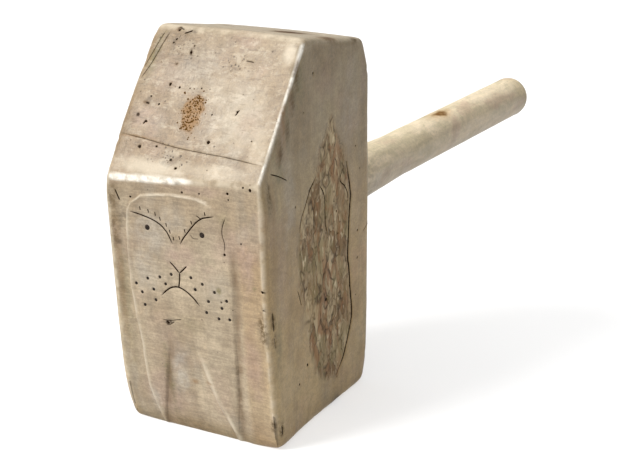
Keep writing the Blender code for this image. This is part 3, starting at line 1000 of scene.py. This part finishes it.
def handle_surface(rows, middle):
    """Points of the turned and whittled handle, ring by ring, and how many rings there are."""
    steps = np.concatenate(([0], np.cumsum(np.linalg.norm(np.diff(rows, axis=0), axis=1))))
    run = np.linspace(0, steps[-1], round(steps[-1] / HANDLE_STEP))
    along = np.interp(run, steps, rows[:, 0])
    radius = np.interp(run, steps, rows[:, 1])
    soft = np.convolve(np.pad(radius, 3, mode="edge"), np.ones(7) / 7, mode="valid")
    shoulder = rise(HEAD_BACK + 1.5, HEAD_BACK + 4, along)
    tip = fall(rows[-1, 0] - 7, rows[-1, 0] - 5.5, along)
    radius += (soft - radius) * shoulder * tip
    turns = np.arange(HANDLE_SIDES) * 2 * math.pi / HANDLE_SIDES
    turn, length = np.meshgrid(turns, along)
    ring = np.repeat(radius[:, None], HANDLE_SIDES, axis=1)
    points = np.stack((ring * np.sin(turn), length, ring * np.cos(turn)), -1).reshape(-1, 3)
    out = points[:, 1] - HEAD_BACK
    bare = rise(0.5, 3, out)
    flats = turn.ravel() * WHITTLED_FLATS / (2 * math.pi) + 0.08 * cloud(points, 14, 20)
    flat = np.cos((flats % 1 - 0.5) * 2 * math.pi / WHITTLED_FLATS)
    cut = (math.cos(math.pi / WHITTLED_FLATS) / flat - 1) * np.hypot(points[:, 0], points[:, 2])
    swell = 0.05 * cloud(points, (8, 26, 8), 21) + 0.02 * cloud(points, 2, 22)
    cut *= fall(15, 40, out)
    nicks = rise(0.3, 0.62, cloud(points, (2.5, 1.1, 2.5), 23))
    nicks *= fall(14, 38, out)
    height = bare * (0.7 * cut + swell - 0.08 * nicks)
    away = points * (1, 0, 1)
    points += away / np.maximum(np.linalg.norm(away, axis=1), 0.01)[:, None] * height[:, None]
    points[:, 2] += middle
    return points, len(along)


def handle_layers(points, rows, middle):
    """The handle's stain, its dirt with painted shade next to the head, and painted shade on its underside
    and at its end, as layers from 0 to 1.
    """
    out = points[:, 1] - HEAD_BACK
    stain_spot = np.array((1.2, HEAD_BACK + STAIN_AT, middle + 6.6))
    stain = np.linalg.norm((points - stain_spot) / (4.0, 8.0, 3.6), axis=1)
    return {
        "rust": fall(0.1, 1.2, stain * (1 + 0.25 * cloud(points, 2, 24))),
        # Dirt, and painted shade where the handle meets the head.
        "grime_and_shade": fall(0, 3, out) + 0.5 * fall(14, 40, out),
        # Painted shade: darker on the underside.
        "under": fall(-0.75, 0.95, (points[:, 2] - middle) / rows[:, 1].max()),
        # Painted shade towards the end.
        "end": rise(rows[-1, 0] - 14, rows[-1, 0], points[:, 1]),
    }


def make_handle():
    """The handle, from its tenon to its rounded end."""
    rows, middle = handle_profile()
    points, count = handle_surface(rows, middle)
    bm = bmesh.new()
    verts = [bm.verts.new(place) for place in points.tolist()]
    for row in range(count - 1):
        for side in range(HANDLE_SIDES):
            first = row * HANDLE_SIDES + side
            second = row * HANDLE_SIDES + (side + 1) % HANDLE_SIDES
            corners = (first, second, second + HANDLE_SIDES, first + HANDLE_SIDES)
            bm.faces.new([verts[corner] for corner in corners])
    bmesh.ops.remove_doubles(bm, verts=bm.verts, dist=0.002)
    bmesh.ops.recalc_face_normals(bm, faces=bm.faces)
    bm.verts.index_update()
    layers = handle_layers(np.array([vert.co for vert in bm.verts]), rows, middle)
    handle = finish_mesh("handle_worn", bm, layers, handle_ivory())
    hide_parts("handle")
    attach(handle, "root")
    return handle


# ---------------------------------------------------------------- the dark plugs

def make_plug(node, head_points, material):
    """One dark plug, with a slightly ragged and sunken end, at the carved surface."""
    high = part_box(node)[1]
    x, _, z = inlay_centre(node)
    radius = inlay_radius(node)
    outside = head_points[head_points[:, 1] < 0]
    away = np.hypot(outside[:, 0] - x, outside[:, 2] - z)
    surface = outside[(away > radius + 0.25) & (away < radius + 0.6), 1].mean()
    depth = high.y / MM - surface
    rings = PLUG_FACE + tuple((share, part * depth) for share, part in PLUG_WALL)
    bm = bmesh.new()
    made = []
    for share, sink in rings:
        ring = []
        for side in range(PLUG_SIDES if share else 1):
            turn = side * 2 * math.pi / PLUG_SIDES
            spot = Vector((x + math.cos(turn) * 2, surface, z + math.sin(turn) * 2))
            reach = radius * share * (1 + 0.12 * noise.noise(spot * 0.9))
            place = (x + math.cos(turn) * reach, surface + PLUG_SINK + sink, z + math.sin(turn) * reach)
            ring.append(bm.verts.new(place))
        made.append(ring)
    for inner, outer in zip(made, made[1:]):
        for side in range(PLUG_SIDES):
            after = (side + 1) % PLUG_SIDES
            if len(inner) == 1:
                bm.faces.new((inner[0], outer[side], outer[after]))
            else:
                bm.faces.new((inner[side], outer[side], outer[after], inner[after]))
    bm.faces.new(made[-1])
    bmesh.ops.recalc_face_normals(bm, faces=bm.faces)
    plug = finish_mesh(node + "_worn", bm, {}, material)
    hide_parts(node)
    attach(plug, "root")
    return plug


# ---------------------------------------------------------------- materials

class Recipe:
    """A material under construction. Inputs are numbers, colours or other nodes' sockets."""

    def __init__(self, name):
        self.material = bpy.data.materials.new(name)
        self.material.use_nodes = True
        self.tree = self.material.node_tree
        self.shader = self.tree.nodes["Principled BSDF"]
        place = self.add("TexCoord").outputs["Object"]
        self.place = self.add("VectorMath", {0: place, "Scale": 1 / MM}, operation="SCALE").outputs[0]
        self.colour = None

    def add(self, kind, inputs=None, **settings):
        node = self.tree.nodes.new("ShaderNode" + kind)
        for key, value in settings.items():
            setattr(node, key, value)
        for key, value in (inputs or {}).items():
            self.feed(node.inputs[key], value)
        return node

    def feed(self, socket, value):
        if isinstance(value, bpy.types.NodeSocket):
            self.tree.links.new(value, socket)
        elif socket.type == "RGBA":
            socket.default_value = (*value, 1)
        else:
            socket.default_value = value

    def layer(self, name):
        return self.add("Attribute", attribute_name=name).outputs["Fac"]

    def stretched(self, stretch, shift=(0, 0, 0), place=None):
        place = self.place if place is None else place
        inputs = {"Vector": place, "Location": shift, "Scale": stretch}
        return self.add("Mapping", inputs).outputs[0]

    def noise(self, size, detail=3, roughness=0.5, distortion=0, shift=0):
        """Noise about 0.5, with features of a size in mm: one number or one for each axis."""
        sizes = size if isinstance(size, tuple) else (size,) * 3
        place = self.stretched([1 / side for side in sizes], (shift, shift * 1.7, shift * 0.6))
        inputs = {
            "Vector": place, "Scale": 1, "Detail": detail, "Roughness": roughness,
            "Distortion": distortion,
        }
        return self.add("TexNoise", inputs).outputs[0]

    def clouds(self, size, settings, low, high, to_low=0, to_high=1, shift=0, on=None):
        """Noise with (detail, roughness, distortion) and its span, over all or on one layer."""
        share = self.span(self.noise(size, *settings, shift=shift), low, high, to_low, to_high)
        return self.times(self.layer(on), share) if on else share

    def dots(self, spacing, radius, share, shift=0):
        """Round specks in a random share of cells of a spacing, 1 inside and 0 outside."""
        place = self.stretched([1 / spacing] * 3, (shift,) * 3)
        cell = self.add("TexVoronoi", {"Vector": place, "Scale": 1, "Randomness": 1})
        size = self.span(self.red(cell.outputs["Color"]), 0, share, radius / spacing, 0.02)
        inside = self.math("SUBTRACT", size, cell.outputs["Distance"])
        return self.span(inside, -0.02, 0.05)

    def cells(self, size, warp, shift=0):
        """Warped cells of a size in mm: distance from the nearest wall, and each cell's own number."""
        inputs = {"Vector": self.stretched([0.3] * 3, (shift,) * 3), "Scale": 1, "Detail": 2}
        swirl = self.add("TexNoise", inputs).outputs["Color"]
        push = self.add("VectorMath", {0: swirl, 1: (warp,) * 3}, operation="MULTIPLY").outputs[0]
        moved = self.add("VectorMath", {0: self.place, 1: push}, operation="ADD").outputs[0]
        place = self.stretched([1 / side for side in size], (shift,) * 3, moved)
        walls = self.add("TexVoronoi", {"Vector": place, "Scale": 1}, feature="DISTANCE_TO_EDGE")
        cell = self.add("TexVoronoi", {"Vector": place, "Scale": 1})
        return walls.outputs["Distance"], self.red(cell.outputs["Color"])

    def red(self, colour):
        return self.add("SeparateColor", {0: colour}).outputs[0]

    def span(self, value, low, high, to_low=0, to_high=1):
        inputs = {0: value, 1: low, 2: high, 3: to_low, 4: to_high}
        return self.add("MapRange", inputs, interpolation_type="SMOOTHSTEP").outputs[0]

    def patchy(self, name, size, shift):
        """A layer, uneven and soft-edged."""
        return self.clouds(size, (4, 0.65, 0.4), 0.34, 0.6, 0.35, 1, shift, name)

    def math(self, operation, first, second):
        return self.add("Math", {0: first, 1: second}, operation=operation).outputs[0]

    def times(self, first, second):
        return self.math("MULTIPLY", first, second)

    def plus(self, first, second):
        return self.math("ADD", first, second)

    def most(self, *values):
        result = values[0]
        for value in values[1:]:
            result = self.math("MAXIMUM", result, value)
        return result

    def blend(self, share, first, second, mode="MIX"):
        node = self.add("Mix", data_type="RGBA", blend_type=mode)
        self.feed(node.inputs[0], share)
        self.feed(node.inputs[6], first)
        self.feed(node.inputs[7], second)
        return node.outputs[2]

    def lay(self, share, colour):
        """Lays a colour over the material's by a share."""
        self.colour = self.blend(share, self.colour, colour)

    def tint(self, share, colour):
        """Multiplies the material's colour by another by a share."""
        self.colour = self.blend(share, self.colour, colour, "MULTIPLY")

    def close(self, roughness, height, bump):
        """Joins the colour, roughness and height to the shader and returns the material."""
        self.feed(self.shader.inputs["Base Color"], self.colour)
        self.feed(self.shader.inputs["Roughness"], roughness)
        inputs = {"Strength": bump, "Distance": BUMP_DEPTH * MM, "Height": height}
        self.feed(self.shader.inputs["Normal"], self.add("Bump", inputs).outputs[0])
        return self.material


def head_ivory():
    """Old ivory: cream and tan clouds, brown core, worn edges, stains, specks, rust and ink, with painted
    highlight on edges and crests and painted shade in grooves, broad places and along the foot.
    """
    mix = Recipe("head_ivory")
    clean_ivory(mix)
    forehead_wear(mix)
    # Dirt and painted shade in the grooves beside the walrus and its left tusk.
    mix.lay(mix.clouds(2.5, (4, 0.6), 0.35, 0.65, 0.3, 0.75, on="groove_dirt_and_shade"), DIRT_AND_SHADE_BROWN)
    # Broad darker places, with painted shade along the front's foot.
    mix.tint(mix.patchy("dark_tone_and_shade", 2.5, 41), DARK_TONE_AND_SHADE_TINT)
    veins = lay_core(mix)
    dirt_and_shade = surface_marks(mix)
    rusty = lay_rust(mix)
    dotted = lay_specks(mix)
    ink = mix.layer("ink")
    mix.lay(mix.span(ink, 0.14, 0.6), INK)

    polish = mix.clouds(5, (4, 0.6), 0.3, 0.7, 0.3, 0.46, shift=1)
    roughness = mix.plus(polish, mix.times(ink, 0.35))
    roughness = mix.plus(roughness, mix.times(mix.layer("core"), 0.1))
    # Dirt and painted shade, the core, ink and rust reflect less.
    dull = mix.most(mix.times(mix.layer("core"), 0.7), mix.span(ink, 0.1, 0.7), dirt_and_shade, rusty)
    mix.feed(mix.shader.inputs["Specular IOR Level"], mix.span(dull, 0, 1, 0.3, 0.03))
    mix.shader.inputs["IOR"].default_value = 1.45
    relief = mix.plus(mix.noise(0.55, 4, 0.65), mix.times(mix.noise((0.5, 0.5, 6), 2), 0.6))
    relief = mix.math("SUBTRACT", relief, mix.times(dotted, 0.8))
    relief = mix.math("SUBTRACT", relief, mix.times(mix.times(veins, mix.layer("core")), 0.6))
    return mix.close(roughness, relief, 0.6)


def clean_ivory(mix):
    """The ivory's own clouds, streaks and grain, and each side's tone; the top laid paler as painted light
    and the foot darker as painted shade.
    """
    blotch = mix.clouds((15, 15, 22), (4, 0.6, 0.4), 0.38, 0.64)
    mix.colour = mix.blend(blotch, IVORY_TAN, IVORY_CREAM)
    rosy = mix.clouds(13, (3, 0.5, 0.3), 0.52, 0.68, shift=4)
    mix.lay(mix.times(rosy, 0.55), IVORY_ROSE)
    grey = mix.clouds((6, 6, 12), (3, 0.5, 0.2), 0.55, 0.72, shift=9)
    mix.lay(mix.times(grey, 0.45), IVORY_GREY)
    mix.tint(1.0, mix.clouds((2.2, 2.2, 20), (4, 0.6, 0.6), 0.35, 0.65, 0.92, 1.05, shift=3))
    mix.tint(mix.layer("flank"), mix.blend(mix.layer("low"), FLANK_HIGH, FLANK_LOW))
    mix.tint(mix.layer("forehead"), FOREHEAD_TINT)
    mix.tint(mix.layer("border"), BORDER_TINT)
    # Painted light: the top is laid paler, as if lit from above, along with its wear.
    mix.lay(mix.times(mix.layer("top"), 0.6), IVORY_WORN_AND_LIT)
    # Painted shade along the foot.
    mix.tint(mix.layer("foot"), FOOT_SHADE_TINT)
    mix.lay(mix.patchy("rose", 3, 14), IVORY_ROSE)
    mix.lay(mix.patchy("ash", 3, 15), IVORY_ASH)
    mix.lay(mix.patchy("olive", 2, 16), IVORY_OLIVE)
    mix.tint(1.0, mix.clouds(0.5, (4, 0.8), 0.34, 0.66, 0.85, 1.09, shift=7))
    mix.tint(1.0, mix.clouds((2.6, 2.6, 1.7), (5, 0.75, 0.5), 0.34, 0.66, 0.88, 1.06, shift=13))
    rubbing = mix.clouds((5, 5, 0.42), (3, 0.6, 0.8), 0.34, 0.66, 0.87, 1.08, shift=29)
    mix.tint(mix.layer("front"), rubbing)


def forehead_wear(mix):
    """The most worn side: short scratches both ways and paler rubbed spots."""
    across = mix.clouds((2.4, 0.35, 0.35), (2, 0.5, 0.6), 0.58, 0.68, shift=31, on="forehead")
    up = mix.clouds((0.4, 0.9, 1.6), (2, 0.5, 0.5), 0.6, 0.7, shift=37, on="forehead")
    mix.lay(mix.times(mix.most(across, up), 0.5), SCUFF)
    rubbed = mix.clouds((3, 2, 2), (4, 0.75, 0.2), 0.5, 0.66, shift=33, on="forehead")
    mix.lay(mix.times(rubbed, 0.32), IVORY_WORN_AND_LIT)


def lay_core(mix):
    """The core's pulp, with dark veins and pale cells. Returns the veins."""
    rim, lot = mix.cells((2.3, 2.3, 6.0), 3.6)
    thin, thin_lot = mix.cells((0.9, 0.9, 2.2), 1.5, shift=21)
    swirl = mix.noise((2.6, 2.6, 8), 4, 0.6, 1.8, shift=12)
    depth = mix.plus(mix.times(lot, 0.35), mix.times(swirl, 0.7))
    depth = mix.plus(depth, mix.times(thin_lot, 0.15))
    pulp = mix.blend(mix.span(depth, 0.42, 0.74), CORE_BROWN, CORE_PALE)
    mossy = mix.clouds((5, 5, 9), (3, 0.5, 0.8), 0.5, 0.62, shift=25)
    pulp = mix.blend(mix.times(mossy, 0.7), pulp, CORE_OLIVE)
    warm = mix.clouds((3.6, 3.6, 8), (3, 0.5, 1.2), 0.5, 0.6, shift=15)
    pulp = mix.blend(mix.times(warm, 0.75), pulp, CORE_ROSE)
    broken = mix.clouds((2, 2, 4), (3, 0.6), 0.38, 0.6, shift=18)
    thick_veins = mix.times(mix.span(rim, 0.0, 0.12, 1, 0), broken)
    thin_veins = mix.times(mix.span(thin, 0.0, 0.16, 0.6, 0), mix.span(broken, 0, 0.6, 1, 0))
    veins = mix.most(thick_veins, thin_veins)
    pulp = mix.blend(mix.times(veins, 0.85), pulp, CORE_DARK)
    light = mix.times(mix.span(rim, 0.14, 0.26), mix.span(swirl, 0.53, 0.64))
    pulp = mix.blend(mix.times(light, 0.75), pulp, CORE_LIGHT)
    mix.lay(mix.clouds((5, 5, 11), (3, 0.6, 0.6), 0.36, 0.56, 0.6, 0.97, shift=51, on="core"), pulp)
    return veins


def surface_marks(mix):
    """Worn and polished places with painted highlight, then stains, and dirt with painted shade in the
    grooves. Returns the dullest dirt and shade.
    """
    mix.lay(mix.clouds(2.2, (3, 0.6), 0.3, 0.6, 0.15, 0.6, shift=5, on="edge"), IVORY_WORN_AND_LIT)
    # Painted highlight along the brow and the forehead's and front's right edges.
    mix.lay(mix.patchy("rim", 2, 17), PAINTED_EDGE_HIGHLIGHT)
    # Polished places and the walrus's crests: worn ivory and painted highlight.
    bright = mix.most(mix.times(mix.layer("polish"), 0.7), mix.times(mix.layer("crest"), 0.75))
    mix.lay(bright, IVORY_WORN_AND_LIT)
    mix.lay(mix.clouds(2, (4, 0.6, 0.6), 0.3, 0.6, 0.4, 1, shift=2, on="stain"), STAIN_BROWN)
    # Dirt, darker round the socket, and painted shade in the grooves.
    grime_and_shade = mix.clouds(0.9, (4, 0.6), 0.35, 0.6, 0.1, 0.9, shift=6, on="grime_and_shade")
    mix.lay(grime_and_shade, GRIME_AND_SHADE)
    scorch = mix.clouds(0.8, (3, 0.6), 0.3, 0.5, 0.5, 1, shift=45, on="scorch")
    mix.lay(scorch, SCORCH)
    mix.lay(mix.clouds((2, 2, 1), (4, 0.7), 0.4, 0.6, 0.1, 0.8, shift=8, on="smudge"), SMUDGE)
    return mix.most(grime_and_shade, scorch)


def lay_rust(mix):
    """The rust spot on the forehead: a fog with dark grains in it. Returns the grains."""
    rust = mix.layer("rust")
    fog = mix.clouds(0.8, (4, 0.7), 0.3, 0.55, 0.55, 1)
    mix.lay(mix.times(mix.span(rust, 0.15, 0.75), fog), RUST_LIGHT)
    few = mix.most(mix.dots(0.4, 0.19, rust), mix.dots(0.55, 0.24, rust, 3))
    many = mix.times(mix.dots(0.36, 0.2, 1, 6), mix.span(rust, 0.25, 0.7))
    rusty = mix.times(mix.most(few, many), mix.span(rust, 0.02, 0.12))
    mix.lay(rusty, RUST_DARK)
    return rusty


def lay_specks(mix):
    """Dark specks, thick in places and scattered elsewhere. Returns them."""
    fine = mix.most(mix.dots(0.75, 0.24, 0.6, 5), mix.dots(0.5, 0.16, 0.45, 8))
    speckled = mix.times(fine, mix.span(mix.layer("speck"), 0.1, 0.7))
    small = mix.times(mix.dots(1.2, 0.2, 0.4, 17), mix.layer("forehead"))
    scattered = mix.most(mix.dots(2.6, 0.22, 0.4, 11), small)
    dotted = mix.most(speckled, mix.times(scattered, 0.8))
    mix.lay(mix.times(dotted, 0.8), SMUDGE)
    return dotted


def handle_ivory():
    """The handle's paler, greener ivory, with mottling along its length, and painted shade under it, at its
    end and next to the head.
    """
    mix = Recipe("handle_ivory")
    blotch = mix.clouds((5, 13, 5), (4, 0.65, 0.8), 0.36, 0.62)
    mix.colour = mix.blend(blotch, HANDLE_OLIVE, HANDLE_CREAM)
    rosy = mix.clouds((6, 12, 6), (3, 0.5, 0.3), 0.52, 0.68, shift=4)
    mix.lay(mix.times(rosy, 0.6), HANDLE_ROSE)
    mix.tint(1.0, mix.clouds((1.1, 16, 1.1), (3, 0.6, 0.3), 0.3, 0.7, 0.93, 1.06, shift=3))
    mix.tint(1.0, mix.clouds(0.8, (5, 0.8), 0.32, 0.68, 0.87, 1.08, shift=7))
    # Dirt along the handle, and painted shade next to the head.
    mix.lay(mix.clouds((1.2, 3, 1.2), (4, 0.65), 0.4, 0.65, 0, 0.8, on="grime_and_shade"), GRIME_AND_SHADE)
    mix.lay(mix.clouds(1.6, (4, 0.7), 0.3, 0.6, 0.4, 0.9, on="rust"), HANDLE_STAIN)
    heart = mix.times(mix.span(mix.layer("rust"), 0.5, 0.85), mix.clouds(0.8, (3,), 0.3, 0.5, 0.5, 1))
    mix.lay(heart, HANDLE_HEART)
    # Painted shade on the underside.
    mix.tint(mix.layer("under"), HANDLE_UNDERSIDE_SHADE)
    # Painted shade towards the end.
    mix.tint(mix.patchy("end", 4, 46), HANDLE_END_SHADE)
    mix.lay(mix.times(mix.dots(2.8, 0.17, 0.45, 4), 0.6), SMUDGE)
    relief = mix.plus(mix.noise(0.6, 4, 0.65), mix.times(mix.noise((0.6, 7, 0.6), 2), 0.7))
    mix.shader.inputs["Specular IOR Level"].default_value = 0.35
    return mix.close(mix.clouds(4, (4, 0.6), 0.3, 0.7, 0.3, 0.46), relief, 0.5)


def dark_fill():
    """The hard dark fill of the eyes and whisker holes."""
    mix = Recipe("dark_fill")
    mix.colour = mix.blend(mix.clouds(0.25, (3,), 0.35, 0.7), FILL_BLACK, FILL_BROWN)
    mix.shader.inputs["Specular IOR Level"].default_value = 0.1
    return mix.close(mix.clouds(0.3, (2,), 0.3, 0.7, 0.45, 0.65), mix.noise(0.2, 3), 0.5)


def floor_white():
    """Plain white, as bright to the camera as FLOOR_SEEN and to the object as FLOOR_BOUNCE."""
    mix = Recipe("floor_white")
    seen = mix.add("LightPath").outputs["Is Camera Ray"]
    paleness = mix.span(seen, 0, 1, FLOOR_BOUNCE, FLOOR_SEEN)
    mix.colour = mix.times(paleness, mix.clouds(60, (2,), 0.3, 0.7, 0.99, 1.01))
    return mix.close(0.9, mix.noise(2, 2), 0.02)


# ---------------------------------------------------------------- stage

def make_floor():
    """The white floor."""
    half = FLOOR_SIZE * MM / 2
    corners = [(-half, -half, 0), (half, -half, 0), (half, half, 0), (-half, half, 0)]
    mesh = bpy.data.meshes.new("floor")
    mesh.from_pydata(corners, [], [(0, 1, 2, 3)])
    mesh.materials.append(floor_white())
    floor = link(bpy.data.objects.new("floor", mesh))
    floor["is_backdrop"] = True
    return floor


def make_lamps():
    """The studio's lights, as {name: object}."""
    suns = {}
    for name, aim, strength, width, shadow in LAMPS:
        lamp = bpy.data.lights.new(name, "SUN")
        lamp.energy = strength * math.pi
        lamp.angle = math.radians(width)
        lamp.use_shadow = shadow
        suns[name] = link(bpy.data.objects.new(name, lamp))
        suns[name].rotation_euler = Vector(aim).to_track_quat("Z", "Y").to_euler()
    return suns


def make_world():
    """A dim white world that looks bright to the camera."""
    world = bpy.data.worlds.new("studio")
    bpy.context.scene.world = world
    world.use_nodes = True
    tree = world.node_tree
    background = tree.nodes["Background"]
    background.inputs["Color"].default_value = (1, 1, 1, 1)
    seen = tree.nodes.new("ShaderNodeLightPath").outputs["Is Camera Ray"]
    strength = tree.nodes.new("ShaderNodeMapRange")
    strength.inputs["To Min"].default_value = WORLD_LIGHT
    tree.links.new(seen, strength.inputs["Value"])
    tree.links.new(strength.outputs[0], background.inputs["Strength"])


def make_camera():
    """The camera at the photograph's viewing angle."""
    lens = bpy.data.cameras.new("camera")
    lens.lens = CAMERA_LENS
    camera = link(bpy.data.objects.new("camera", lens))
    turn = Matrix.Rotation(math.radians(CAMERA_YAW), 4, "Z")
    tilt = Matrix.Rotation(math.radians(90 - CAMERA_PITCH), 4, "X")
    roll = Matrix.Rotation(math.radians(CAMERA_ROLL), 4, "Z")
    camera.matrix_world = Matrix.Translation(Vector(CAMERA_PLACE) * MM) @ turn @ tilt @ roll
    bpy.context.scene.camera = camera
    bpy.context.scene.view_settings.view_transform = "Standard"


def shine_only(lamp, floor, caster):
    """Lets a lamp light only the floor, and lets only one piece block it."""
    for name, piece, kind in (
        ("lit_by_" + lamp.name, floor, "receiver_collection"),
        ("shadow_of_" + lamp.name, caster, "blocker_collection"),
    ):
        group = bpy.data.collections.new(name)
        group.objects.link(piece)
        setattr(lamp.light_linking, kind, group)


floor = make_floor()
lamps = make_lamps()
make_world()
make_camera()
head = make_head()

# The photograph's floor shows one soft band of shadow, which the head throws and the handle doesn't.
shine_only(lamps["floor_key"], floor, head)
make_handle()
fill = dark_fill()
head_points = np.array([vertex.co for vertex in head.data.vertices]) / MM
for inlay in inlay_nodes():
    make_plug(inlay, head_points, fill)

boxes = {"cad": CAD_BOX, "visual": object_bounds()}
{name: np.array(box).tolist() for name, box in boxes.items()}
